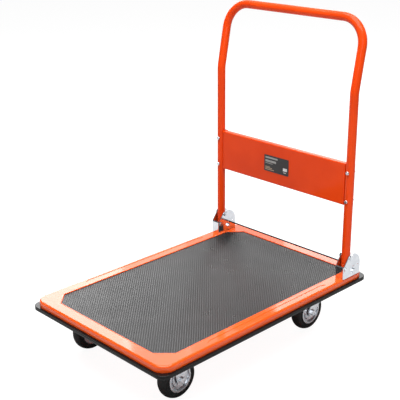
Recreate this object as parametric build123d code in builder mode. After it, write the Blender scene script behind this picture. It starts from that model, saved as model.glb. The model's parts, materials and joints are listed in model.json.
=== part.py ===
from build123d import *

import os
from math import radians, sqrt, tan

# Folding platform cart: a pressed steel deck with a mat and a bumper, two fixed and two
# swivel casters, and a U-shaped push handle that folds forward flat over the deck.
# Millimetres. +X is across the deck, +Y runs towards the handle, +Z is up.
# The origin is on the floor, under the centre of the deck.

# ---- Driving dimensions -------------------------------------------------------------

# Deck
platform_length = 711.0
platform_width = 470.0
deck_corner_radius = 32.0
deck_sheet = 2.0
deck_edge_radius = 5.0
skirt_depth = 26.0
border_width = 32.5
recess_depth = 4.0
recess_corner_cut = 34.0
recess_wall_radius = 1.2

# Long stiffening beads pressed into the side borders
bead_length = 420.0
bead_width = 12.0
bead_depth = 1.0
bead_edge_inset = 14.5
bead_point = 14.0

# Mat and bumper
mat_thickness = 2.5
mat_clearance = 0.5
bumper_stand = 6.0
bumper_height = 10.0
bumper_corner_radius = 22.0
bumper_edge_radius = 1.2
bumper_groove = 1.0
bumper_groove_height = 5.5

# Under the deck
channel_depth = 18.0
channel_width = 92.0
channel_sheet = 2.5
channel_bend_radius = 1.5
channel_end_gap = 14.0
stiffener_width = 40.0
stiffener_depth = 14.0
stiffener_offset = 90.0

# Casters and wheels
wheel_diameter = 100.0
tyre_width = 27.0
tyre_crown = 4.0
tyre_shoulder_radius = 3.0
rim_radius = 30.0
rim_sheet = 1.5
rim_lip = 2.5
rim_dish = 4.5
disc_radius = 21.0
rim_slope = 2.0
rim_disc_set_in = 1.0
hub_radius = 10.0
hub_overhang = 2.0
spacer_radius = 6.0
axle_radius = 4.0
running_clearance = 0.05
caster_headroom = 22.0
caster_plate_length = 88.0
caster_plate_width = 66.0
caster_plate_thickness = 3.0
caster_plate_corner = 6.0
caster_hole_length = 72.0
caster_hole_width = 46.0
fork_sheet = 2.5
fork_side_gap = 1.5
fork_end_radius = 13.0
fork_top_length = 58.0
yoke_length = 50.0
yoke_drop = 13.0
caster_side_inset = 77.5
caster_end_inset = 107.5
swivel_trail = 32.0
race_radius = 20.0
ball_radius = 2.5
ball_count = 14
race_gap = 2.0
race_wall = 3.0
kingpin_radius = 5.0
kingpin_nut = 8.0
kingpin_nut_gap = 0.5

# Folding handle
tube_diameter = 22.0
tube_wall = 1.6
handle_side_inset = 12.5
handle_rear_inset = 69.5
handle_height = 651.0
lean_length = 171.0
lean_angle = 10.8
lean_bend_radius = 70.0
top_corner_radius = 66.0
foot_below_pivot = 32.0
plug_length = 6.0
bush_wall = 2.0
bush_stand_out = 0.3

# Handle panel and its label plate
panel_above_deck = 192.5
panel_height = 109.0
panel_proud = 6.6
panel_sheet = 1.5
panel_flange = 14.0
panel_tube_gap = 1.0
panel_ear_overlap = 5.0
panel_bend_radius = 2.5
panel_bolt_low = 12.5
panel_bolt_high = 87.5
label_width = 85.0
label_height = 45.0
label_thickness = 0.6
label_offset = -12.0
label_corner_radius = 2.0

# Handle brackets
bracket_sheet = 2.0
bracket_side_gap = 0.5
bracket_front = 24.0
bracket_length = 68.0
bracket_height = 62.0
bracket_web_height = 31.0
bracket_crown_radius = 33.0
bracket_crown_start = 21.0
bracket_bend_radius = 1.5
pivot_height = 54.0
pivot_setback = 3.0
pivot_radius = 4.0
stop_radius = 4.0
stop_height = 25.0
stop_clearance = 0.3
stop_head_radius = 6.0
stop_head_height = 2.0
pawl_pivot_radius = 3.0
pawl_pivot_back = 15.0
pawl_pivot_height = 15.0
pawl_hub_radius = 5.2
pawl_reach = 15.5
pawl_clearance = 0.3
pawl_side_gap = 1.5
pawl_tab = 8.0
pawl_tab_thickness = 2.5
pawl_edge_radius = 0.8
jig_hole_rise = 12.0
jig_hole_back = 19.0
jig_hole_radius = 2.0
washer_thickness = 1.2
bracket_bolt_front = 8.0
bracket_bolt_rear = 36.0
rod_radius = 2.0
rod_setback = 4.5
rod_height = 14.5
rod_tenon_radius = 1.5
rod_head_radius = 2.8
rod_head_height = 1.2

# Fasteners
m5_radius = 2.5
m5_across_flats = 8.0
m5_thin_nut = 2.7
m6_radius = 3.0
m6_across_flats = 10.0
m6_head = 4.0
m6_nut = 5.0
m8_across_flats = 13.0
m8_head = 5.3
m8_thin_head = 3.5
m8_thin_nut = 4.0
m8_nut = 6.5
m10_across_flats = 16.0
hole_clearance = 0.2
thread_stub = 1.0
pan_head_radius = 4.75
pan_head_height = 3.2

# ---- Levels and positions that follow -----------------------------------------------

caster_top = wheel_diameter + caster_headroom
floor_underside = caster_top + channel_depth
recess_floor = floor_underside + deck_sheet
deck_top = recess_floor + recess_depth
deck_underside = deck_top - deck_sheet
skirt_bottom = deck_top - skirt_depth
recess_length = platform_length - 2 * border_width
recess_width = platform_width - 2 * border_width
axle_height = wheel_diameter / 2

tube_radius = tube_diameter / 2
handle_x = platform_width / 2 - handle_side_inset
handle_y = platform_length / 2 - handle_rear_inset
pivot_y = handle_y + pivot_setback
pivot_z = deck_top + pivot_height

caster_x = platform_width / 2 - caster_side_inset
caster_y = platform_length / 2 - caster_end_inset
swivel_wheel_y = caster_y - swivel_trail
hub_half_width = tyre_width / 2 + hub_overhang
fork_gap = hub_half_width + fork_side_gap
sides = {"left": -1, "right": 1}

os.makedirs("parts", exist_ok=True)


def save(builder, name):
    """Labels a finished piece and writes it as one STEP file."""
    builder.part.label = name
    export_step(builder.part, f"parts/{name}.step")


def save_pair(builder, twin, name):
    """Writes a piece and its mirrored twin, which stay two solids, as one STEP file."""
    pair = Compound(label=name, children=[*builder.part.solids(), *twin.solids()])
    export_step(pair, f"parts/{name}.step")


def deck_outline(inset=0.0, mode=Mode.ADD):
    """The deck's outer outline in plan, moved inwards by inset."""
    width = platform_width - 2 * inset
    length = platform_length - 2 * inset
    RectangleRounded(width, length, deck_corner_radius - inset, mode=mode)


def bumper_outline(inset=0.0, mode=Mode.ADD):
    """The bumper's outer outline in plan, moved inwards by inset."""
    grow = 2 * (bumper_stand - inset)
    radius = bumper_corner_radius - inset
    RectangleRounded(platform_width + grow, platform_length + grow, radius, mode=mode)


def recess_outline(outset=0.0):
    """The recess in plan, with its four cut corners, moved outwards by outset."""
    half_x = recess_width / 2 + outset
    half_y = recess_length / 2 + outset
    cut = recess_corner_cut + outset * (2 - sqrt(2))
    with BuildLine() as outline:
        Polyline((half_x, 0), (half_x, half_y - cut), (half_x - cut, half_y), (0, half_y))
        mirror(about=Plane.YZ)
        mirror(about=Plane.XZ)
    make_face(outline.edges())


def bead_outline(grow=0.0):
    """The two long beads with pointed ends, in plan."""
    half_width = bead_width / 2 + grow
    half_length = bead_length / 2 + grow
    shoulder = half_length - bead_point
    with BuildLine() as outline:
        Polyline(
            (bead_x + half_width, -shoulder),
            (bead_x + half_width, shoulder),
            (bead_x, half_length),
            (bead_x - half_width, shoulder),
            (bead_x - half_width, -shoulder),
            (bead_x, -half_length),
            close=True,
        )
    make_face(outline.edges())
    mirror(about=Plane.YZ)


def cross_plane(x):
    """A plane across the cart at x, whose own x is +Y and whose own y is +Z."""
    return Plane(origin=(x, 0, 0), x_dir=(0, 1, 0), z_dir=(1, 0, 0))


def wheel_plane(x, y):
    """A plane through a wheel's axle, whose own x runs along the axle and y along a radius."""
    return Plane(origin=(x, y, axle_height), x_dir=(1, 0, 0), z_dir=(0, -1, 0))


def hexagon(across_flats):
    """A hexagon for a bolt head or a nut."""
    RegularPolygon(across_flats / 2, 6, major_radius=False)


# ---- Deck ---------------------------------------------------------------------------

bead_x = platform_width / 2 - bead_edge_inset
bracket_start = handle_y - bracket_front
bracket_bolt_ys = (bracket_start + bracket_bolt_front, bracket_start + bracket_bolt_rear)
bracket_bolt_places = [(s * handle_x, y) for s in sides.values() for y in bracket_bolt_ys]

# The hollow under the sheet, which is shallower below the recess and the beads.
with BuildPart() as hollow:
    with BuildSketch(Plane.XY.offset(skirt_bottom)):
        deck_outline(deck_sheet)
    extrude(amount=skirt_depth - deck_sheet)
    fillet(hollow.faces().sort_by(Axis.Z)[-1].edges(), deck_edge_radius - deck_sheet)
    with BuildSketch(Plane.XY.offset(floor_underside)):
        recess_outline(deck_sheet)
    extrude(amount=skirt_depth, mode=Mode.SUBTRACT)
    with BuildSketch(Plane.XY.offset(deck_underside - bead_depth)):
        bead_outline(deck_sheet / 2)
    extrude(amount=skirt_depth, mode=Mode.SUBTRACT)

with BuildPart() as deck_pan:
    with BuildSketch(Plane.XY.offset(skirt_bottom)):
        deck_outline()
    extrude(amount=skirt_depth)
    fillet(deck_pan.faces().sort_by(Axis.Z)[-1].edges(), deck_edge_radius)
    add(hollow, mode=Mode.SUBTRACT)
    with BuildSketch(Plane.XY.offset(deck_top)):
        recess_outline()
    extrude(amount=-recess_depth, mode=Mode.SUBTRACT)
    recess_rim = [e for e in deck_pan.edges().filter_by(Plane.XY).group_by(Axis.Z)[-1]
                  if abs(e.center().X) < recess_width / 2 + 1]
    fillet(recess_rim, recess_wall_radius)
    with BuildSketch(Plane.XY.offset(deck_top)):
        bead_outline()
    extrude(amount=-bead_depth, taper=45, mode=Mode.SUBTRACT)
    with BuildSketch(Plane.XY.offset(deck_top)):
        with Locations(*bracket_bolt_places):
            Circle(m6_radius + hole_clearance)
    extrude(amount=-2 * deck_sheet, mode=Mode.SUBTRACT)
save(deck_pan, "deck_pan")

with BuildPart() as anti_slip_mat:
    with BuildSketch(Plane.XY.offset(recess_floor)):
        recess_outline(-mat_clearance)
    extrude(amount=mat_thickness)
save(anti_slip_mat, "anti_slip_mat")

with BuildPart() as bumper_strip:
    with BuildSketch(Plane.XY.offset(skirt_bottom)):
        bumper_outline()
    extrude(amount=bumper_height)
    fillet(bumper_strip.faces().filter_by(Axis.Z).edges(), bumper_edge_radius)
    with BuildSketch(Plane.XY.offset(skirt_bottom)):
        deck_outline()
    extrude(amount=bumper_height, mode=Mode.SUBTRACT)
    with BuildSketch(Plane.XY.offset(skirt_bottom + bumper_groove_height)):
        bumper_outline()
        bumper_outline(bumper_groove, mode=Mode.SUBTRACT)
    extrude(amount=bumper_groove, mode=Mode.SUBTRACT)
save(bumper_strip, "bumper_strip")


# ---- Under the deck -----------------------------------------------------------------

channel_half_length = recess_width / 2 - channel_end_gap
caster_hole_pitch = (caster_hole_width, caster_hole_length)


def caster_holes(end):
    """Where the eight bolts of the two casters at one end stand, in plan."""
    half_x, half_y = caster_hole_width / 2, caster_hole_length / 2
    return [
        (side * caster_x + dx, end * caster_y + dy)
        for side in sides.values()
        for dx in (-half_x, half_x)
        for dy in (-half_y, half_y)
    ]


for channel_name, end in {"front_crossmember": -1, "rear_crossmember": 1}.items():
    with BuildPart() as crossmember:
        with BuildSketch(Plane.XY.offset(caster_top)):
            with Locations((0, end * caster_y)):
                Rectangle(2 * channel_half_length, channel_width)
        extrude(amount=channel_depth)
        lower_edges = crossmember.edges().filter_by(Axis.X).group_by(Axis.Z)[0]
        fillet(lower_edges, channel_sheet + channel_bend_radius)
        with BuildSketch(Plane.XY.offset(caster_top + channel_sheet)):
            with Locations((0, end * caster_y)):
                Rectangle(2 * channel_half_length, channel_width - 2 * channel_sheet)
        extrude(amount=channel_depth, mode=Mode.SUBTRACT)
        with BuildSketch(Plane.XY.offset(caster_top)):
            with Locations(*caster_holes(end)):
                Circle(m6_radius + hole_clearance)
        extrude(amount=channel_sheet, mode=Mode.SUBTRACT)
    save(crossmember, channel_name)

stiffener_half_length = caster_y - channel_width / 2
for side_name, side in sides.items():
    with BuildPart() as stiffener:
        with BuildSketch(Plane.XY.offset(floor_underside)):
            with Locations((side * stiffener_offset, 0)):
                Rectangle(stiffener_width, 2 * stiffener_half_length)
        extrude(amount=-stiffener_depth)
        with BuildSketch(Plane.XY.offset(floor_underside)):
            with Locations((side * stiffener_offset, 0)):
                Rectangle(stiffener_width - 2 * channel_sheet, 2 * stiffener_half_length)
        extrude(amount=channel_sheet - stiffener_depth, mode=Mode.SUBTRACT)
    save(stiffener, f"{side_name}_stiffener")

# ---- Caster plates' fasteners -------------------------------------------------------

plate_underside = caster_top - caster_plate_thickness
caster_nut_seat = caster_top + channel_sheet
caster_bolt_places = caster_holes(-1) + caster_holes(1)

with BuildPart() as caster_bolts:
    with BuildSketch(Plane.XY.offset(plate_underside)):
        with Locations(*caster_bolt_places):
            hexagon(m6_across_flats)
    extrude(amount=-m6_head)
    with BuildSketch(Plane.XY.offset(plate_underside)):
        with Locations(*caster_bolt_places):
            Circle(m6_radius)
    extrude(amount=caster_nut_seat - plate_underside + m6_nut + thread_stub)
save(caster_bolts, "caster_bolts")

with BuildPart() as caster_nuts:
    with BuildSketch(Plane.XY.offset(caster_nut_seat)):
        with Locations(*caster_bolt_places):
            hexagon(m6_across_flats)
            Circle(m6_radius, mode=Mode.SUBTRACT)
    extrude(amount=m6_nut)
save(caster_nuts, "caster_nuts")

# ---- Wheels, the same on every caster -----------------------------------------------


def build_wheel(name, x, y):
    """The turning pieces of one wheel: tyre, pressed rim halves and hub."""
    tyre_half = tyre_width / 2
    axle = Axis((x, y, axle_height), (1, 0, 0))

    with BuildPart() as tyre:
        with BuildSketch(wheel_plane(x, y)) as tyre_section:
            shoulder = wheel_diameter / 2 - tyre_crown
            with BuildLine():
                Polyline(
                    (-tyre_half, shoulder),
                    (-tyre_half, rim_radius),
                    (tyre_half, rim_radius),
                    (tyre_half, shoulder),
                )
                ThreePointArc(
                    (-tyre_half, shoulder), (0, wheel_diameter / 2), (tyre_half, shoulder)
                )
            make_face()
            fillet(tyre_section.vertices().group_by(Axis.Z)[-1], tyre_shoulder_radius)
        revolve(axis=axle)
    save(tyre, f"{name}_tyre")

    with BuildPart() as rim:
        groove = tyre_half - rim_dish
        disc = tyre_half - rim_disc_set_in
        with BuildSketch(wheel_plane(x, y)):
            with BuildLine():
                Polyline(
                    (0, rim_radius),
                    (tyre_half, rim_radius),
                    (tyre_half, rim_radius + rim_lip),
                    (tyre_half + rim_sheet, rim_radius + rim_lip),
                    (tyre_half + rim_sheet, rim_radius - rim_sheet),
                    (groove + rim_sheet, rim_radius - rim_sheet),
                    (groove + rim_sheet, disc_radius + rim_slope),
                    (disc + rim_sheet, disc_radius),
                    (disc + rim_sheet, hub_radius),
                    (disc, hub_radius),
                    (disc, disc_radius - rim_sheet / 2),
                    (groove, disc_radius + rim_slope - rim_sheet / 2),
                    (groove, rim_radius - rim_sheet),
                    (0, rim_radius - rim_sheet),
                    close=True,
                )
            make_face()
        revolve(axis=axle)
    save_pair(rim, rim.part.mirror(Plane.YZ.offset(x)), f"{name}_rim")

    with BuildPart() as hub:
        with BuildSketch(cross_plane(x)):
            with Locations((y, axle_height)):
                Circle(hub_radius)
                Circle(spacer_radius + running_clearance, mode=Mode.SUBTRACT)
        extrude(amount=hub_half_width, both=True)
    save(hub, f"{name}_hub")


def build_axles(name, places, plural=""):
    """The still pieces of one or more axles: bolt, nut and the spacer that the hub turns on."""
    outer = fork_gap + fork_sheet
    with BuildPart() as axle_bolt:
        for x, y, side in places:
            with BuildSketch(cross_plane(x + side * outer)) as head_face:
                with Locations((y, axle_height)):
                    hexagon(m8_across_flats)
            extrude(head_face.sketch, amount=side * m8_head)
            with BuildSketch(cross_plane(x + side * outer)) as shank:
                with Locations((y, axle_height)):
                    Circle(axle_radius)
            extrude(shank.sketch, amount=-side * (2 * outer + m8_nut + thread_stub))
    save(axle_bolt, f"{name}_axle_bolt{plural}")

    with BuildPart() as axle_nut:
        for x, y, side in places:
            with BuildSketch(cross_plane(x - side * outer)) as nut_face:
                with Locations((y, axle_height)):
                    hexagon(m8_across_flats)
                    Circle(axle_radius, mode=Mode.SUBTRACT)
            extrude(nut_face.sketch, amount=-side * m8_nut)
    save(axle_nut, f"{name}_axle_nut{plural}")

    with BuildPart() as spacer:
        for x, y, _ in places:
            with BuildSketch(cross_plane(x)) as ring:
                with Locations((y, axle_height)):
                    Circle(spacer_radius)
                    Circle(axle_radius + running_clearance, mode=Mode.SUBTRACT)
            extrude(ring.sketch, amount=fork_gap, both=True)
    save(spacer, f"{name}_axle_spacer{plural}")


def caster_plate(x, y):
    """A caster's top plate in plan, with its four bolt holes."""
    with Locations((x, y)):
        RectangleRounded(caster_plate_width, caster_plate_length, caster_plate_corner)
        with GridLocations(*caster_hole_pitch, 2, 2):
            Circle(m6_radius + hole_clearance, mode=Mode.SUBTRACT)


def fork_legs(x, y, top_y, top_z, top_length, top_height):
    """Two legs either side of the wheel at y, from a flat top at top_y down to the axle."""
    for leg_side in (-1, 1):
        with BuildSketch(cross_plane(x + leg_side * fork_gap)) as leg:
            with Locations((top_y, top_z - top_height / 2)):
                Rectangle(top_length, top_height)
            with Locations((y, axle_height)):
                Circle(fork_end_radius)
            make_hull()
            with Locations((y, axle_height)):
                Circle(axle_radius + hole_clearance, mode=Mode.SUBTRACT)
        extrude(leg.sketch, amount=leg_side * fork_sheet)


# ---- Fixed casters at the front -----------------------------------------------------

for side_name, side in sides.items():
    name = f"front_{side_name}"
    x, y = side * caster_x, -caster_y
    with BuildPart() as fork:
        with BuildSketch(Plane.XY.offset(plate_underside)):
            caster_plate(x, y)
        extrude(amount=caster_plate_thickness)
        fork_legs(x, y, y, plate_underside, fork_top_length, fork_sheet)
    save(fork, f"{name}_fork")
    build_wheel(name, x, y)

front_axles = [(side * caster_x, -caster_y, side) for side in sides.values()]
build_axles("front", front_axles, plural="s")

# ---- Swivel casters at the handle end -----------------------------------------------

yoke_top = caster_top - yoke_drop
yoke_underside = yoke_top - caster_plate_thickness
race_height = (plate_underside - yoke_top - race_gap) / 2
ball_height = (plate_underside + yoke_top) / 2
race_outer_radius = race_radius + ball_radius + race_wall

for side_name, side in sides.items():
    name = f"rear_{side_name}"
    x, y = side * caster_x, caster_y
    king_axis = Axis((x, y, 0), (0, 0, 1))

    with BuildPart() as top_plate:
        with BuildSketch(Plane.XY.offset(plate_underside)):
            caster_plate(x, y)
            with Locations((x, y)):
                Circle(kingpin_radius, mode=Mode.SUBTRACT)
        extrude(amount=caster_plate_thickness)
        with BuildSketch(Plane.XY.offset(plate_underside)):
            with Locations((x, y)):
                Circle(race_outer_radius)
                Circle(kingpin_radius, mode=Mode.SUBTRACT)
        extrude(amount=-race_height)
        with BuildSketch(Plane.XZ.offset(-y)):
            with Locations((x + race_radius, ball_height)):
                Circle(ball_radius + running_clearance)
        revolve(axis=king_axis, mode=Mode.SUBTRACT)
    save(top_plate, f"{name}_top_plate")

    with BuildPart() as yoke:
        with BuildSketch(Plane.XY.offset(yoke_underside)):
            with Locations((x, y)):
                Circle(race_outer_radius)
                Rectangle(2 * (fork_gap + fork_sheet), yoke_length)
        extrude(amount=caster_plate_thickness)
        with BuildSketch(Plane.XY.offset(yoke_top)):
            with Locations((x, y)):
                Circle(race_outer_radius)
        extrude(amount=race_height)
        with BuildSketch(Plane.XZ.offset(-y)):
            with Locations((x + race_radius, ball_height)):
                Circle(ball_radius + running_clearance)
        revolve(axis=king_axis, mode=Mode.SUBTRACT)
        fork_legs(x, swivel_wheel_y, y, yoke_top, yoke_length, caster_plate_thickness)
        with BuildSketch(Plane.XY.offset(yoke_underside)):
            with Locations((x, y)):
                Circle(kingpin_radius + running_clearance)
        extrude(amount=caster_plate_thickness + race_height, mode=Mode.SUBTRACT)
    save(yoke, f"{name}_yoke")

    with BuildPart() as race_balls:
        with Locations((x, y, ball_height)):
            with PolarLocations(race_radius, ball_count):
                Sphere(ball_radius)
    save(race_balls, f"{name}_race_balls")

    with BuildPart() as kingpin:
        with BuildSketch(Plane.XY.offset(caster_top)):
            with Locations((x, y)):
                Circle(kingpin_radius)
        extrude(amount=yoke_underside - caster_top - kingpin_nut_gap - kingpin_nut)
        with BuildSketch(Plane.XY.offset(yoke_underside - kingpin_nut_gap)):
            with Locations((x, y)):
                hexagon(m10_across_flats)
        extrude(amount=-kingpin_nut)
    save(kingpin, f"{name}_kingpin")

    build_axles(name, [(x, swivel_wheel_y, side)])
    build_wheel(name, x, swivel_wheel_y)

# ---- Handle brackets ----------------------------------------------------------------

bracket_inner_half = tube_radius + bracket_side_gap
bracket_outer_half = bracket_inner_half + bracket_sheet
crown_y = bracket_start + bracket_length - bracket_crown_radius
crown_z = deck_top + bracket_height - bracket_crown_radius
crown_run = crown_y - bracket_start - bracket_crown_start
crown_start_z = crown_z + sqrt(bracket_crown_radius**2 - crown_run**2)
stop_y = handle_y - tube_radius - stop_clearance - stop_radius
stop_z = deck_top + stop_height
pawl_y = handle_y + pawl_pivot_back
pawl_z = deck_top + pawl_pivot_height
rod_y = bracket_start + bracket_length - rod_setback
rod_z = deck_top + rod_height
bracket_holes = [
    (pivot_y, pivot_z, pivot_radius),
    (stop_y, stop_z, stop_radius),
    (pawl_y, pawl_z, pawl_pivot_radius),
    (pawl_y, pawl_z + jig_hole_rise, jig_hole_radius),
    (pawl_y + jig_hole_back, pawl_z + jig_hole_rise, jig_hole_radius),
]

for side_name, side in sides.items():
    with BuildPart() as bracket:
        with BuildSketch(cross_plane(side * handle_x)):
            with BuildLine():
                Polyline(
                    (crown_y + bracket_crown_radius, crown_z),
                    (crown_y + bracket_crown_radius, deck_top),
                    (bracket_start, deck_top),
                    (bracket_start, deck_top + bracket_web_height),
                    (bracket_start + bracket_crown_start, crown_start_z),
                )
                ThreePointArc(
                    (bracket_start + bracket_crown_start, crown_start_z),
                    (crown_y, crown_z + bracket_crown_radius),
                    (crown_y + bracket_crown_radius, crown_z),
                )
            make_face()
        extrude(amount=bracket_outer_half, both=True)
        front_edges = bracket.edges().filter_by(Axis.Z).group_by(Axis.Y)[0]
        fillet(front_edges, bracket_sheet + bracket_bend_radius)
        with BuildSketch(Plane.XY.offset(deck_top + bracket_sheet)) as pocket:
            with Locations((side * handle_x, bracket_start + bracket_length)):
                Rectangle(2 * bracket_inner_half, 2 * (bracket_length - bracket_sheet))
            fillet(pocket.vertices().group_by(Axis.Y)[0], bracket_bend_radius)
        extrude(amount=bracket_height, mode=Mode.SUBTRACT)
        with BuildSketch(cross_plane(side * handle_x)):
            for hole_y, hole_z, hole_radius in bracket_holes:
                with Locations((hole_y, hole_z)):
                    Circle(hole_radius + hole_clearance)
        extrude(amount=bracket_outer_half, both=True, mode=Mode.SUBTRACT)
        with BuildSketch(cross_plane(side * handle_x)):
            with Locations((rod_y, rod_z)):
                Circle(rod_tenon_radius + hole_clearance)
        extrude(amount=-side * bracket_outer_half, mode=Mode.SUBTRACT)
        with BuildSketch(Plane.XY.offset(deck_top)):
            with Locations(*[(side * handle_x, y) for y in bracket_bolt_ys]):
                Circle(m6_radius + hole_clearance)
        extrude(amount=bracket_sheet, mode=Mode.SUBTRACT)
    save(bracket, f"{side_name}_hinge_bracket")

with BuildPart() as bracket_bolts:
    with BuildSketch(Plane.XY.offset(deck_top + bracket_sheet)):
        with Locations(*bracket_bolt_places):
            hexagon(m6_across_flats)
    extrude(amount=m6_head)
    with BuildSketch(Plane.XY.offset(deck_top + bracket_sheet)):
        with Locations(*bracket_bolt_places):
            Circle(m6_radius)
    extrude(amount=-(bracket_sheet + deck_sheet + m6_nut + thread_stub))
save(bracket_bolts, "bracket_bolts")

with BuildPart() as bracket_nuts:
    with BuildSketch(Plane.XY.offset(deck_underside)):
        with Locations(*bracket_bolt_places):
            hexagon(m6_across_flats)
            Circle(m6_radius, mode=Mode.SUBTRACT)
    extrude(amount=-m6_nut)
save(bracket_nuts, "bracket_nuts")

with BuildPart() as stop_pins:
    for side in sides.values():
        with BuildSketch(cross_plane(side * handle_x)):
            with Locations((stop_y, stop_z)):
                Circle(stop_radius)
        extrude(amount=bracket_outer_half, both=True)
        for face_side in (-1, 1):
            with BuildSketch(cross_plane(side * handle_x + face_side * bracket_outer_half)):
                with Locations((stop_y, stop_z)):
                    Circle(stop_head_radius)
            extrude(amount=face_side * stop_head_height)
save(stop_pins, "handle_stop_pins")


def build_cross_bolts(name, at_y, at_z, radius, across_flats, head, nut):
    """A bolt and its nut across each bracket, with the head on the outside."""
    with BuildPart() as bolts:
        for side in sides.values():
            with BuildSketch(cross_plane(side * (handle_x + bracket_outer_half))) as head_face:
                with Locations((at_y, at_z)):
                    hexagon(across_flats)
            extrude(head_face.sketch, amount=side * head)
            with BuildSketch(cross_plane(side * (handle_x + bracket_outer_half))) as shank:
                with Locations((at_y, at_z)):
                    Circle(radius)
            length = 2 * bracket_outer_half + nut + thread_stub
            extrude(shank.sketch, amount=-side * length)
    save(bolts, f"{name}_bolts")

    with BuildPart() as nuts:
        for side in sides.values():
            with BuildSketch(cross_plane(side * (handle_x - bracket_outer_half))) as nut_face:
                with Locations((at_y, at_z)):
                    hexagon(across_flats)
                    Circle(radius, mode=Mode.SUBTRACT)
            extrude(nut_face.sketch, amount=-side * nut)
    save(nuts, f"{name}_nuts")


build_cross_bolts(
    "handle_pivot", pivot_y, pivot_z, pivot_radius, m8_across_flats, m8_thin_head, m8_thin_nut
)
build_cross_bolts(
    "lock_pivot", pawl_y, pawl_z, pawl_pivot_radius, m6_across_flats, m6_head, m6_nut
)

# ---- Locks: a pawl behind the foot of each tube, drawn swung back and clear of it -----

pawl_half_width = bracket_inner_half - pawl_side_gap
pawl_half_thickness = pawl_pivot_back - tube_radius - pawl_clearance
for side_name, side in sides.items():
    with BuildPart() as pawl:
        with BuildSketch(cross_plane(side * handle_x)):
            with Locations((pawl_y, pawl_z)):
                Circle(pawl_hub_radius)
            with Locations((pawl_y + pawl_reach / 2, pawl_z)):
                Rectangle(pawl_reach, 2 * pawl_half_thickness)
            with Locations((pawl_y + pawl_reach, pawl_z)):
                Rectangle(
                    pawl_tab_thickness, pawl_half_thickness + pawl_tab, align=(Align.MAX, Align.MAX)
                )
            with Locations((pawl_y, pawl_z)):
                Circle(pawl_pivot_radius + running_clearance, mode=Mode.SUBTRACT)
        extrude(amount=pawl_half_width, both=True)
        tip_edges = pawl.edges().filter_by(Axis.X).group_by(Axis.Y)[-1]
        fillet(tip_edges, pawl_edge_radius)
    save(pawl, f"{side_name}_lock_pawl")

with BuildPart() as lock_washers:
    for side in sides.values():
        for face_side in (-1, 1):
            with BuildSketch(cross_plane(side * handle_x + face_side * bracket_inner_half)):
                with Locations((pawl_y, pawl_z)):
                    Circle(pawl_hub_radius)
                    Circle(pawl_pivot_radius + hole_clearance, mode=Mode.SUBTRACT)
            extrude(amount=-face_side * washer_thickness)
save(lock_washers, "lock_spring_washers")

# ---- Tie rod: a thin bar above the deck's back edge, riveted into the two brackets ----

rod_shoulder_x = handle_x - bracket_outer_half
with BuildPart() as tie_rod:
    for radius, half_length in (
        (rod_radius, rod_shoulder_x),
        (rod_tenon_radius, rod_shoulder_x + bracket_sheet),
    ):
        with BuildSketch(cross_plane(0)):
            with Locations((rod_y, rod_z)):
                Circle(radius)
        extrude(amount=half_length, both=True)
    for side in sides.values():
        with BuildSketch(cross_plane(side * (rod_shoulder_x + bracket_sheet))):
            with Locations((rod_y, rod_z)):
                Circle(rod_head_radius)
        extrude(amount=side * rod_head_height)
save(tie_rod, "bracket_tie_rod")

# ---- Folding handle -----------------------------------------------------------------

lean_z = deck_top + handle_height - lean_length
top_z = deck_top + handle_height
top_y = handle_y + lean_length * tan(radians(lean_angle))
foot_z = pivot_z - foot_below_pivot
panel_bottom = deck_top + panel_above_deck
panel_bolt_places = [
    (side * handle_x, panel_bottom + rise)
    for side in sides.values()
    for rise in (panel_bolt_low, panel_bolt_high)
]
bush_radius = pivot_radius + running_clearance + bush_wall

with BuildPart() as handle_tube:
    with BuildLine() as handle_path:
        FilletPolyline(
            (-handle_x, handle_y, foot_z),
            (-handle_x, handle_y, lean_z),
            (-handle_x, top_y, top_z),
            (handle_x, top_y, top_z),
            (handle_x, handle_y, lean_z),
            (handle_x, handle_y, foot_z),
            radius=(lean_bend_radius, top_corner_radius, top_corner_radius, lean_bend_radius),
        )
    with BuildSketch(Plane(origin=(-handle_x, handle_y, foot_z), z_dir=(0, 0, 1))):
        Circle(tube_radius)
        Circle(tube_radius - tube_wall, mode=Mode.SUBTRACT)
    sweep()
    for side in sides.values():
        with BuildSketch(cross_plane(side * handle_x)):
            with Locations((pivot_y, pivot_z)):
                Circle(bush_radius)
        extrude(amount=tube_radius, both=True, mode=Mode.SUBTRACT)
    with BuildSketch(Plane.XZ.offset(-handle_y)):
        with Locations(*panel_bolt_places):
            Circle(m5_radius + hole_clearance)
    extrude(amount=tube_radius, both=True, mode=Mode.SUBTRACT)
save(handle_tube, "handle_tube")

with BuildPart() as pivot_bushes:
    for side in sides.values():
        with BuildSketch(cross_plane(side * handle_x)):
            with Locations((pivot_y, pivot_z)):
                Circle(bush_radius)
                Circle(pivot_radius + running_clearance, mode=Mode.SUBTRACT)
        extrude(amount=tube_radius + bush_stand_out, both=True)
save(pivot_bushes, "handle_pivot_bushes")

with BuildPart() as foot_plugs:
    with BuildSketch(Plane.XY.offset(foot_z)):
        with Locations(*[(side * handle_x, handle_y) for side in sides.values()]):
            Circle(tube_radius - tube_wall)
    extrude(amount=plug_length)
save(foot_plugs, "handle_foot_plugs")

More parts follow.
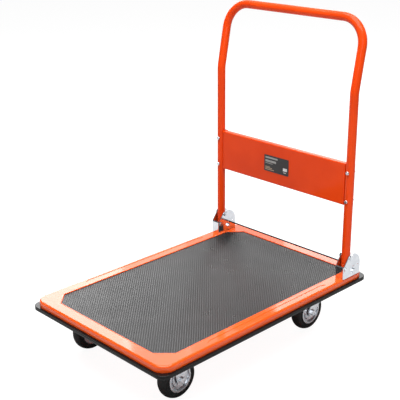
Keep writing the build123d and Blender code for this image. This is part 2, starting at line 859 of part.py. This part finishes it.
# The panel is a shallow box, open at the back, whose ears reach behind the tubes.
panel_half_width = handle_x - tube_radius - panel_tube_gap
panel_front = handle_y - panel_proud
ear_front = handle_y + tube_radius
with BuildPart() as handle_panel:
    with BuildSketch(Plane.XY.offset(panel_bottom)):
        with Locations((0, panel_front)):
            Rectangle(
                2 * panel_half_width,
                ear_front + panel_sheet - panel_front,
                align=(Align.CENTER, Align.MIN),
            )
        with Locations((0, ear_front)):
            Rectangle(
                2 * (handle_x + panel_ear_overlap), panel_sheet, align=(Align.CENTER, Align.MIN)
            )
    extrude(amount=panel_height)
    front_rim = handle_panel.faces().sort_by(Axis.Y)[0].edges()
    fillet(front_rim, panel_bend_radius)
    with BuildSketch(Plane.XY.offset(panel_bottom + panel_sheet)):
        with Locations((0, panel_front + panel_sheet)):
            Rectangle(
                2 * (panel_half_width - panel_sheet),
                ear_front + panel_sheet - panel_front,
                align=(Align.CENTER, Align.MIN),
            )
    extrude(amount=panel_height - 2 * panel_sheet, mode=Mode.SUBTRACT)
    with BuildSketch(Plane.XY.offset(panel_bottom)):
        with Locations((0, panel_front + panel_flange)):
            Rectangle(
                2 * (panel_half_width - panel_sheet),
                ear_front + panel_sheet - panel_front,
                align=(Align.CENTER, Align.MIN),
            )
    extrude(amount=panel_height, mode=Mode.SUBTRACT)
    with BuildSketch(Plane.XZ.offset(-ear_front)):
        with Locations(*panel_bolt_places):
            Circle(m5_radius + hole_clearance)
    extrude(amount=-panel_sheet, mode=Mode.SUBTRACT)
save(handle_panel, "handle_panel")

with BuildPart() as label_plate:
    with BuildSketch(Plane.XZ.offset(-panel_front)):
        with Locations((label_offset, panel_bottom + panel_height / 2)):
            RectangleRounded(label_width, label_height, label_corner_radius)
    extrude(amount=label_thickness)
save(label_plate, "label_plate")

with BuildPart() as panel_screws:
    with BuildSketch(Plane.XZ.offset(tube_radius - handle_y)):
        with Locations(*panel_bolt_places):
            Circle(pan_head_radius)
    extrude(amount=pan_head_height)
    head_rims = panel_screws.faces().sort_by(Axis.Y)[: len(panel_bolt_places)].edges()
    fillet(head_rims, pan_head_height / 2)
    with BuildSketch(Plane.XZ.offset(tube_radius - handle_y)):
        with Locations(*panel_bolt_places):
            Circle(m5_radius)
    extrude(amount=-(tube_diameter + panel_sheet + m5_thin_nut + thread_stub))
save(panel_screws, "panel_screws")

with BuildPart() as panel_nuts:
    with BuildSketch(Plane.XZ.offset(-ear_front - panel_sheet)):
        with Locations(*panel_bolt_places):
            hexagon(m5_across_flats)
            Circle(m5_radius, mode=Mode.SUBTRACT)
    extrude(amount=-m5_thin_nut)
save(panel_nuts, "panel_nuts")
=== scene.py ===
import json
from math import cos, pi, radians, sin, tan

import bmesh
import bpy
from mathutils import Matrix, Vector


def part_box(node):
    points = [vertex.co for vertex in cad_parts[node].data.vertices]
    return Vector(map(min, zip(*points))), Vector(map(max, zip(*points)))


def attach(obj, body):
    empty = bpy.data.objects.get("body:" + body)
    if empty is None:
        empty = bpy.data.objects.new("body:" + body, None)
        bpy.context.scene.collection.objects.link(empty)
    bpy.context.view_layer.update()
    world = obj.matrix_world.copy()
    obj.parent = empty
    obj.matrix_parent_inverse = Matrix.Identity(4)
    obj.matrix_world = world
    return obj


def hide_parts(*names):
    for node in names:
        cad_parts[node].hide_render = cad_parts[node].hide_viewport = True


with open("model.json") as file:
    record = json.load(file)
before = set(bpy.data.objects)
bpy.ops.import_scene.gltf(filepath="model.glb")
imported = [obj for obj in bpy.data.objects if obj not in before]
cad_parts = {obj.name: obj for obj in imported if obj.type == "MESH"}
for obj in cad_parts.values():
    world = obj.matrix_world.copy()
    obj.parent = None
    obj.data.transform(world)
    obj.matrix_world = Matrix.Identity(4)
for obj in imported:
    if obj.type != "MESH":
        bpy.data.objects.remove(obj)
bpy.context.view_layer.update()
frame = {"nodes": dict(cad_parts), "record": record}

# Looks of the folding platform cart: the materials, the mat's relief, the recess lip, the
# tyres and the label's print, with the studio and the camera. Metres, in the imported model's
# frame: +X across the deck, +Y towards the handle, +Z up, with the origin on the floor under
# the deck's centre.

nodes = frame["nodes"]

# ---- Colours, as linear light ---------------------------------------------------------

ORANGE = (0.80, 0.060, 0.0030)
ORANGE_DEEP = (0.72, 0.048, 0.0020)
DECK_ORANGE = (0.86, 0.100, 0.0060)
DECK_ORANGE_DEEP = (0.80, 0.082, 0.0040)
MAT_GREY = (0.013, 0.0127, 0.013)
MAT_DUST = (0.022, 0.0213, 0.0217)
BLACK_RUBBER = (0.008, 0.008, 0.0085)
BLACK_DUST = (0.018, 0.0175, 0.0175)
BUMPER_BLACK = (0.003, 0.003, 0.0033)
BUMPER_DUST = (0.007, 0.0068, 0.007)
ZINC = (0.72, 0.75, 0.79)
ZINC_DULL = (0.60, 0.63, 0.67)
STEEL_DARK = (0.30, 0.31, 0.33)
CHARCOAL = (0.022, 0.021, 0.022)
PRINT_GREY = (0.34, 0.34, 0.33)
PRINT_WARM = (0.42, 0.30, 0.20)
PRINT_WHITE = (0.75, 0.75, 0.75)
# Painted shade: the frame's orange is darker than the handle's, standing in for the shade that
# falls on the frame.
FRAME_PAINTED_SHADE = (0.5, 0.028, 0.003)


# ---- Material nodes -------------------------------------------------------------------

# Most of a noise value lies between these two.
NOISE_LOW = 0.3
NOISE_HIGH = 0.7

# Heights of the surface grain, in metres.
ORANGE_PEEL = 0.00006
SPANGLE_DEPTH = 0.00003
RUBBER_GRAIN = 0.00015
MAT_WAVE = 0.002
MAT_GRAIN = 0.00003
INK_GRAIN = 0.00005
PLASTIC_GRAIN = 0.0001


class Surface:
    """One procedural material: a principled shader with helpers for what feeds it."""

    def __init__(self, name, metallic=0.0, roughness=0.5, coat=0.0, coat_roughness=0.05):
        self.material = bpy.data.materials.new(name)
        self.material.use_nodes = True
        self.tree = self.material.node_tree
        self.shader = self.tree.nodes["Principled BSDF"]
        self.shader.inputs["Metallic"].default_value = metallic
        self.shader.inputs["Roughness"].default_value = roughness
        self.shader.inputs["Coat Weight"].default_value = coat
        self.shader.inputs["Coat Roughness"].default_value = coat_roughness
        self.place = self.add("ShaderNodeTexCoord").outputs["Object"]

    def add(self, kind):
        return self.tree.nodes.new(kind)

    def link(self, start, end):
        self.tree.links.new(start, end)

    def noise(self, scale, detail=3.0, roughness=0.5, stretch=None):
        """A noise value from 0 to 1, at scale features a metre."""
        texture = self.add("ShaderNodeTexNoise")
        texture.inputs["Scale"].default_value = scale
        texture.inputs["Detail"].default_value = detail
        texture.inputs["Roughness"].default_value = roughness
        place = self.stretched(stretch) if stretch else self.place
        self.link(place, texture.inputs["Vector"])
        return texture.outputs["Fac"]

    def stretched(self, factors):
        """The place on the piece, scaled by factors along X, Y and Z."""
        mapping = self.add("ShaderNodeMapping")
        mapping.inputs["Scale"].default_value = factors
        self.link(self.place, mapping.inputs["Vector"])
        return mapping.outputs["Vector"]

    def colour(self, value, first, last):
        """The base colour from value, between two stops as (position, colour)."""
        ramp = self.add("ShaderNodeValToRGB")
        for element, (position, colour) in zip(ramp.color_ramp.elements, (first, last)):
            element.position = position
            element.color = (*colour, 1.0)
        self.link(value, ramp.inputs["Fac"])
        self.link(ramp.outputs["Color"], self.shader.inputs["Base Color"])

    def rough(self, value, smoothest, roughest):
        """The roughness from a noise value, clamped at smoothest and roughest."""
        node = self.add("ShaderNodeMapRange")
        node.inputs["From Min"].default_value = NOISE_LOW
        node.inputs["From Max"].default_value = NOISE_HIGH
        node.inputs["To Min"].default_value = smoothest
        node.inputs["To Max"].default_value = roughest
        self.link(value, node.inputs["Value"])
        self.link(node.outputs["Result"], self.shader.inputs["Roughness"])

    def bumps(self, *layers, coat=False):
        """Bump layers as (value, height in metres, strength), the finest last."""
        normal = None
        for value, height, strength in layers:
            node = self.add("ShaderNodeBump")
            node.inputs["Distance"].default_value = height
            node.inputs["Strength"].default_value = strength
            self.link(value, node.inputs["Height"])
            if normal:
                self.link(normal, node.inputs["Normal"])
            normal = node.outputs["Normal"]
        self.link(normal, self.shader.inputs["Normal"])
        if coat:
            self.link(normal, self.shader.inputs["Coat Normal"])


def powder_coat(name, light=ORANGE, deep=ORANGE_DEEP, gloss=0.28):
    """Glossy orange powder coat, with orange peel and slightly uneven depth of colour."""
    paint = Surface(name, roughness=0.45, coat=gloss, coat_roughness=0.07)
    paint.shader.inputs["Coat IOR"].default_value = 1.4
    paint.shader.inputs["Specular IOR Level"].default_value = 0.1
    paint.colour(paint.noise(9.0, detail=4.0), (0.35, deep), (0.65, light))
    paint.rough(paint.noise(55.0), smoothest=0.4, roughest=0.5)
    paint.bumps((paint.noise(450.0, detail=2.0), ORANGE_PEEL, 0.15), coat=True)
    return paint.material


def zinc(name, roughness, bright=ZINC, dull=ZINC_DULL):
    """Bright zinc plate: faint cloudy spangle, rolling grain and fine scuffs."""
    metal = Surface(name, metallic=1.0, roughness=roughness[0])
    spangle = metal.noise(60.0, detail=5.0, roughness=0.6)
    metal.colour(spangle, (0.3, dull), (0.62, bright))
    scuffs = metal.noise(220.0, detail=4.0, roughness=0.65, stretch=(1.0, 1.0, 6.0))
    metal.rough(scuffs, *roughness)
    metal.bumps((scuffs, SPANGLE_DEPTH, 0.08))
    return metal.material


def rubber(name, dark, worn, gloss, roughness=(0.45, 0.62), coat=0.0):
    """Moulded rubber with fine grain and dusty patches."""
    skin = Surface(name, roughness=roughness[0], coat=coat, coat_roughness=0.1)
    skin.shader.inputs["Specular IOR Level"].default_value = gloss
    patches = skin.noise(30.0, detail=5.0, roughness=0.6)
    skin.colour(patches, (0.4, dark), (0.75, worn))
    skin.rough(skin.noise(80.0), *roughness)
    skin.bumps((skin.noise(900.0), RUBBER_GRAIN, 0.4))
    return skin.material


def mat_vinyl():
    """Dark grey vinyl with a soft sheen, faint dusty patches and slight waves."""
    skin = Surface("mat_vinyl", roughness=0.5)
    skin.shader.inputs["Specular IOR Level"].default_value = 0.22
    patches = skin.noise(14.0, detail=5.0, roughness=0.6)
    skin.colour(patches, (0.35, MAT_GREY), (0.8, MAT_DUST))
    skin.rough(skin.noise(25.0), smoothest=0.27, roughest=0.34)
    skin.bumps(
        (skin.noise(5.0, detail=2.0), MAT_WAVE, 0.25),
        (skin.noise(1300.0, detail=2.0), MAT_GRAIN, 0.1),
    )
    return skin.material


def print_ink(name, colour, roughness=0.45):
    """Matt print on the label plate."""
    ink = Surface(name, roughness=roughness)
    darker = tuple(c * 0.82 for c in colour)
    ink.colour(ink.noise(160.0), (0.3, darker), (0.7, colour))
    ink.rough(ink.noise(300.0, detail=2.0), roughness - 0.06, roughness + 0.08)
    ink.bumps((ink.noise(1500.0, detail=2.0), INK_GRAIN, 0.2))
    return ink.material


def satin_black(name):
    """Satin black plastic or paint with a fine grain."""
    skin = Surface(name, roughness=0.4)
    lighter = tuple(c * 1.5 for c in BUMPER_BLACK)
    skin.colour(skin.noise(90.0), (0.3, BUMPER_BLACK), (0.8, lighter))
    skin.rough(skin.noise(200.0, detail=2.0), smoothest=0.36, roughest=0.5)
    skin.bumps((skin.noise(1000.0, detail=2.0), PLASTIC_GRAIN, 0.3))
    return skin.material


materials = {
    "deck_paint": powder_coat("deck_powder_coat", DECK_ORANGE, DECK_ORANGE_DEEP, gloss=1.0),
    "handle_paint": powder_coat("handle_powder_coat"),
    "panel_paint": powder_coat("panel_powder_coat"),
    # The frame's coat is the orange darkened into painted shade.
    "frame_paint": powder_coat("frame_coat_painted_shade", ORANGE_DEEP, FRAME_PAINTED_SHADE),
    "mat_vinyl": mat_vinyl(),
    "bumper_rubber": rubber(
        "bumper_rubber",
        BUMPER_BLACK,
        BUMPER_DUST,
        gloss=0.08,
        roughness=(0.35, 0.5),
        coat=0.35,
    ),
    "tyre_rubber": rubber("tyre_rubber", BLACK_RUBBER, BLACK_DUST, gloss=0.2),
    "rim_steel": zinc("rim_zinc", (0.2, 0.32)),
    "hub_steel": zinc("hub_steel", (0.25, 0.38), ZINC_DULL, STEEL_DARK),
    "label_print": print_ink("label_charcoal", CHARCOAL, roughness=0.35),
    "plug_plastic": satin_black("plug_plastic"),
    "bracket_zinc": zinc("bracket_zinc", (0.08, 0.16)),
    "caster_zinc": zinc("caster_zinc", (0.22, 0.34)),
    "pawl_zinc": zinc("pawl_zinc", (0.25, 0.4), ZINC_DULL, STEEL_DARK),
    "fastener_zinc": zinc("fastener_zinc", (0.18, 0.3)),
    "rod_black": satin_black("rod_black"),
}


def dress_cad_nodes():
    """Gives every CAD node the finish of its material slot in the record."""
    for piece in frame["record"]["subparts"]:
        node = nodes[piece["node"]]
        node.data.materials.clear()
        node.data.materials.append(materials[piece["material_slot"]])


# ---- Mesh helpers ---------------------------------------------------------------------

# Edges that turn less than this are shaded smooth.
SMOOTH_ANGLE = radians(40)


def finish_piece(bm, name, body, slot, replaced=(), smooth_angle=None, material=None):
    """Turns bm into an object that rides on body, with the finish of the record's slot."""
    bmesh.ops.recalc_face_normals(bm, faces=bm.faces)
    if smooth_angle is not None:
        for face in bm.faces:
            face.smooth = True
        for edge in bm.edges:
            edge.smooth = edge.is_boundary or edge.calc_face_angle(pi) < smooth_angle
    mesh = bpy.data.meshes.new(name)
    bm.to_mesh(mesh)
    bm.free()
    mesh.materials.append(material or materials[slot])
    piece = bpy.data.objects.new(name, mesh)
    bpy.context.scene.collection.objects.link(piece)
    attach(piece, body)
    if replaced:
        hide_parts(*replaced)


# ---- Mat ------------------------------------------------------------------------------

STUD_PITCH = 0.0054
STUD_HEIGHT = 0.0005
CORNER_CUT = 0.0343


def mat_outline(low, high):
    """The mat's outline in plan, with its four cut corners, anticlockwise."""
    return [
        Vector((high.x, low.y + CORNER_CUT, 0)),
        Vector((high.x, high.y - CORNER_CUT, 0)),
        Vector((high.x - CORNER_CUT, high.y, 0)),
        Vector((low.x + CORNER_CUT, high.y, 0)),
        Vector((low.x, high.y - CORNER_CUT, 0)),
        Vector((low.x, low.y + CORNER_CUT, 0)),
        Vector((low.x + CORNER_CUT, low.y, 0)),
        Vector((high.x - CORNER_CUT, low.y, 0)),
    ]


def build_mat():
    """The mat with a relief of small pyramids set on the diagonal, cut off at its edge."""
    low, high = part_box("anti_slip_mat")
    outline = mat_outline(low, high)
    valley = high.z - STUD_HEIGHT
    relief = bmesh.new()
    along = Vector((1, 1, 0)).normalized() * STUD_PITCH
    across = Vector((-1, 1, 0)).normalized() * STUD_PITCH
    reach = int(((high - low).xy.length / 2) / STUD_PITCH) + 2
    corners = {}

    def corner(i, j):
        if (i, j) not in corners:
            point = along * i + across * j
            corners[i, j] = relief.verts.new((point.x, point.y, valley))
        return corners[i, j]

    for i in range(-reach, reach):
        for j in range(-reach, reach):
            peak = along * (i + 0.5) + across * (j + 0.5)
            if abs(peak.x) > high.x + STUD_PITCH or abs(peak.y) > high.y + STUD_PITCH:
                continue
            top = relief.verts.new((peak.x, peak.y, high.z))
            ring = [corner(i, j), corner(i + 1, j), corner(i + 1, j + 1), corner(i, j + 1)]
            for k in range(4):
                relief.faces.new((ring[k], ring[(k + 1) % 4], top))
    for k, point in enumerate(outline):
        edge = outline[(k + 1) % len(outline)] - point
        outwards = Vector((edge.y, -edge.x, 0))
        geometry = relief.verts[:] + relief.edges[:] + relief.faces[:]
        bmesh.ops.bisect_plane(
            relief, geom=geometry, plane_co=point, plane_no=outwards, clear_outer=True
        )
    rim = [e for e in relief.edges if e.is_boundary]
    skirt = bmesh.ops.extrude_edge_only(relief, edges=rim)["geom"]
    for vertex in [v for v in skirt if isinstance(v, bmesh.types.BMVert)]:
        vertex.co.z = low.z
    base = [e for e in relief.edges if e.is_boundary]
    bmesh.ops.contextual_create(relief, geom=base)
    finish_piece(relief, "mat_relief", "deck", "mat_vinyl", ["anti_slip_mat"])


# ---- Recess lip -----------------------------------------------------------------------

# The gap between the mat and the recess wall.
MAT_GAP = 0.0005
# The lip's section, as (distance outwards from the recess wall, height above the deck).
LIP_SECTION = [
    (0.0001, -0.0012),
    (0.0003, -0.0003),
    (0.0009, 0.0002),
    (0.0016, 0.0003),
    (0.0023, 0.0002),
    (0.0029, -0.0001),
]


def moved_outwards(outline, distance):
    """The corners of a convex outline, anticlockwise, with each side moved outwards."""
    corners = []
    for k, point in enumerate(outline):
        before = (point - outline[k - 1]).normalized()
        after = (outline[(k + 1) % len(outline)] - point).normalized()
        normals = [Vector((side.y, -side.x, 0)) for side in (before, after)]
        middle = (normals[0] + normals[1]).normalized()
        corners.append(point + middle * (distance / middle.dot(normals[0])))
    return corners


def build_recess_lip():
    """The rolled lip round the deck's recess, which catches the light beside the mat."""
    low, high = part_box("anti_slip_mat")
    deck_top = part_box("deck_pan")[1].z
    outline = mat_outline(low, high)
    lip = bmesh.new()
    rings = []
    for outwards, rise in LIP_SECTION:
        corners = moved_outwards(outline, MAT_GAP + outwards)
        rings.append([lip.verts.new((c.x, c.y, deck_top + rise)) for c in corners])
    for inner, outer in zip(rings, rings[1:] + rings[:1]):
        for k in range(len(outline)):
            n = (k + 1) % len(outline)
            lip.faces.new((inner[k], inner[n], outer[n], outer[k]))
    finish_piece(lip, "recess_lip", "deck", "deck_paint", smooth_angle=SMOOTH_ANGLE)


# ---- Tyres ----------------------------------------------------------------------------

TYRE_STEPS = 112
CROWN_STEPS = 8
CROWN_SHARE = 0.86
CROWN_DROP = 0.0033
CROWN_CURVE = 2.2
MOULD_LINE = 0.0001
SHOULDER_DROP = 0.0042
RIM_SEAT = 0.0025
# The tyre's side as (share of its half width, depth under the shoulder), and below that as
# (share of its half width, height over the rim's seat).
SIDE_UPPER = [(0.95, 0.0), (0.99, 0.0022), (1.0, 0.0042), (0.985, 0.0062), (0.95, 0.0066)]
SIDE_LOWER = [(0.95, 0.0052), (1.0, 0.0048), (1.0, 0.0027), (0.96, 0.0026), (0.96, 0.0)]


def tyre_profile(radius, inner, half):
    """Half of a tyre's section, as (distance from its middle plane, radius) from the crown."""
    shares = [t / CROWN_STEPS for t in range(CROWN_STEPS + 1)]
    crown = [
        (half * CROWN_SHARE * t, radius - MOULD_LINE - CROWN_DROP * t**CROWN_CURVE)
        for t in shares
    ]
    crown[0] = (0.0, radius)
    shoulder = radius - SHOULDER_DROP
    upper = [(half * share, shoulder - depth) for share, depth in SIDE_UPPER]
    lower = [(half * share, inner + height) for share, height in SIDE_LOWER]
    return crown + upper + lower


def build_tyre(name):
    """A solid rubber tyre with a mould line round its crown and a raised band on each side."""
    low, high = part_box(f"{name}_tyre")
    centre = (low + high) / 2
    half = (high.x - low.x) / 2
    radius = (high.z - low.z) / 2
    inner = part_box(f"{name}_rim")[1].z - centre.z - RIM_SEAT
    section = tyre_profile(radius, inner, half)
    loop = section + [(-x, r) for x, r in reversed(section[1:])]
    tyre = bmesh.new()
    rings = []
    for step in range(TYRE_STEPS):
        turn = 2 * pi * step / TYRE_STEPS
        points = [
            (centre.x + x, centre.y + r * cos(turn), centre.z + r * sin(turn)) for x, r in loop
        ]
        rings.append([tyre.verts.new(point) for point in points])
    for step, ring in enumerate(rings):
        after = rings[(step + 1) % TYRE_STEPS]
        for k in range(len(loop)):
            n = (k + 1) % len(loop)
            tyre.faces.new((ring[k], ring[n], after[n], after[k]))
    replaced = [f"{name}_tyre"]
    finish_piece(
        tyre, f"{name}_tyre_skin", f"{name}_wheel", "tyre_rubber", replaced, SMOOTH_ANGLE
    )


# ---- Label ----------------------------------------------------------------------------

PRINT_THICKNESS = 0.00016


def build_label():
    """Generic print on the label plate: bars and a block, with no lettering."""
    low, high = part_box("label_plate")
    width, height = high.x - low.x, high.z - low.z
    inks = {
        "grey": print_ink("label_grey_ink", PRINT_GREY),
        "warm": print_ink("label_warm_ink", PRINT_WARM),
        "white": print_ink("label_white_ink", PRINT_WHITE),
    }
    # Each bar as left, bottom, width and height, in shares of the plate.
    bars = {
        "grey": [
            (0.05, 0.80, 0.50, 0.10),
            (0.05, 0.57, 0.44, 0.13),
            (0.05, 0.48, 0.30, 0.035),
        ],
        "warm": [
            (0.05, 0.18, 0.28, 0.05),
            (0.05, 0.09, 0.36, 0.05),
            (0.05, 0.26, 0.20, 0.035),
        ],
        "white": [(0.78, 0.26, 0.16, 0.18), (0.80, 0.15, 0.10, 0.035)],
    }
    for ink, places in bars.items():
        print_mesh = bmesh.new()
        for left, bottom, bar_width, bar_height in places:
            size = Vector((bar_width * width, PRINT_THICKNESS, bar_height * height))
            corner = Vector((low.x + left * width, low.y, low.z + bottom * height))
            centre = corner + Vector((size.x / 2, 0, size.z / 2))
            shape = Matrix.Translation(centre) @ Matrix.Diagonal((*size, 1.0))
            bmesh.ops.create_cube(print_mesh, size=1.0, matrix=shape)
        finish_piece(
            print_mesh, f"label_{ink}_print", "handle", "label_print", material=inks[ink]
        )


# ---- Studio ---------------------------------------------------------------------------

WHITE = (1.0, 1.0, 1.0, 1.0)
FLOOR_REACH = 14.0
FLOOR_SHADE = (0.2, 0.2, 0.2)
FLOOR_BOUNCE = (0.52, 0.52, 0.52)
FLOOR_GLOW = 0.93
ROOM_GREY = 0.16
LIGHT_AIM = Vector((0.0, 0.0, 0.4))
BACK_DISTANCE = 3.5

# Each softbox that faces the cart: its place, its width and height in metres, and its
# brightness in watts a square metre.
FACING_BOXES = {
    "overhead_box": ((0.2, -0.2, 3.0), 3.0, 3.0, 21.0),
    "front_fill": ((2.6, -2.9, 1.9), 2.2, 1.6, 9.0),
}
# Each softbox behind the cart: its first and last angle in degrees left of +Y, its lower
# and upper edge in metres, and its brightness.
BACK_BOXES = {
    "back_left_box": (55.0, 76.0, 0.3, 2.9, 18.0),
    "back_side_box": (47.5, 55.0, 0.3, 2.9, 6.0),
    "back_middle_box": (37.0, 47.5, 0.6, 2.9, 3.6),
    "back_right_box": (8.0, 37.0, 0.3, 2.9, 11.0),
}


def split_for_camera(tree, seen, unseen, output):
    """Shows seen to the camera alone, and unseen to every other ray."""
    path = tree.nodes.new("ShaderNodeLightPath")
    mix = tree.nodes.new("ShaderNodeMixShader")
    tree.links.new(path.outputs["Is Camera Ray"], mix.inputs["Fac"])
    tree.links.new(unseen, mix.inputs[1])
    tree.links.new(seen, mix.inputs[2])
    tree.links.new(mix.outputs["Shader"], output.inputs["Surface"])


def build_floor():
    """A plain white floor, kept bright to the camera, with a faint soft shadow."""
    mesh = bpy.data.meshes.new("studio_floor")
    turns = [(-1, -1), (1, -1), (1, 1), (-1, 1)]
    corners = [(x * FLOOR_REACH, y * FLOOR_REACH, 0) for x, y in turns]
    mesh.from_pydata(corners, [], [(0, 1, 2, 3)])
    material = bpy.data.materials.new("studio_floor")
    material.use_nodes = True
    tree = material.node_tree
    tree.nodes.clear()
    matt = tree.nodes.new("ShaderNodeBsdfDiffuse")
    matt.inputs["Color"].default_value = (*FLOOR_SHADE, 1.0)
    glow = tree.nodes.new("ShaderNodeEmission")
    glow.inputs["Strength"].default_value = FLOOR_GLOW
    both = tree.nodes.new("ShaderNodeAddShader")
    tree.links.new(matt.outputs["BSDF"], both.inputs[0])
    tree.links.new(glow.outputs["Emission"], both.inputs[1])
    bounce = tree.nodes.new("ShaderNodeBsdfDiffuse")
    bounce.inputs["Color"].default_value = (*FLOOR_BOUNCE, 1.0)
    output = tree.nodes.new("ShaderNodeOutputMaterial")
    split_for_camera(tree, both.outputs["Shader"], bounce.outputs["BSDF"], output)
    mesh.materials.append(material)
    floor = bpy.data.objects.new("studio_floor", mesh)
    bpy.context.scene.collection.objects.link(floor)


def area_light(name, place, width, height, brightness):
    """A softbox that faces the cart, whose power is brightness watts a square metre."""
    data = bpy.data.lights.new(name, "AREA")
    data.shape = "RECTANGLE"
    data.size = width
    data.size_y = height
    data.energy = brightness * width * height
    light = bpy.data.objects.new(name, data)
    light.location = place
    light.rotation_euler = (LIGHT_AIM - Vector(place)).to_track_quat("-Z", "Y").to_euler()
    bpy.context.scene.collection.objects.link(light)


def back_box(name, first, last, low, high, brightness):
    """A tall softbox behind the cart, from first to last degrees left of +Y."""
    middle = radians((first + last) / 2)
    width = 2 * BACK_DISTANCE * tan(radians(last - first) / 2)
    place = (-BACK_DISTANCE * sin(middle), BACK_DISTANCE * cos(middle), (low + high) / 2)
    area_light(name, place, width, high - low, brightness)


def build_lights():
    """A dim room, a box overhead, a fill in front and four tall softboxes behind."""
    world = bpy.data.worlds.new("studio_room")
    world.use_nodes = True
    tree = world.node_tree
    room = tree.nodes["Background"]
    room.inputs["Color"].default_value = WHITE
    room.inputs["Strength"].default_value = ROOM_GREY
    white = tree.nodes.new("ShaderNodeBackground")
    white.inputs["Color"].default_value = WHITE
    output = tree.nodes["World Output"]
    split_for_camera(tree, white.outputs["Background"], room.outputs["Background"], output)
    bpy.context.scene.world = world
    for name, settings in FACING_BOXES.items():
        area_light(name, *settings)
    for name, settings in BACK_BOXES.items():
        back_box(name, *settings)


# ---- Camera ---------------------------------------------------------------------------

# The azimuth counts from -Y towards +X, and the shifts are along the view's right and up.
AZIMUTH = radians(45.908)
ELEVATION = radians(20.209)
ROLL = radians(-0.435)
LENS_MM = 79.40
SENSOR_MM = 36.0
AIM_HEIGHT = 0.300
DISTANCE = 2.1824
SHIFT_RIGHT = -0.0109
SHIFT_UP = 0.0667


def build_camera():
    """The camera stands in front and to the right of the free end, a little above."""
    back = Vector(
        (sin(AZIMUTH) * cos(ELEVATION), -cos(AZIMUTH) * cos(ELEVATION), sin(ELEVATION))
    )
    right = (-back).cross(Vector((0, 0, 1))).normalized()
    up = right.cross(-back)
    rolled_right = right * cos(ROLL) + up * sin(ROLL)
    rolled_up = up * cos(ROLL) - right * sin(ROLL)
    place = Vector((0, 0, AIM_HEIGHT)) + back * DISTANCE + right * SHIFT_RIGHT + up * SHIFT_UP
    data = bpy.data.cameras.new("camera")
    data.lens = LENS_MM
    data.sensor_width = SENSOR_MM
    camera = bpy.data.objects.new("camera", data)
    turn = Matrix((rolled_right, rolled_up, back)).transposed().to_4x4()
    camera.matrix_world = Matrix.Translation(place) @ turn
    bpy.context.scene.collection.objects.link(camera)
    bpy.context.scene.camera = camera


dress_cad_nodes()
build_mat()
build_recess_lip()
for wheel in ("front_left", "front_right", "rear_left", "rear_right"):
    build_tyre(wheel)
build_label()
build_floor()
build_lights()
build_camera()
bpy.context.scene.view_settings.view_transform = "Standard"
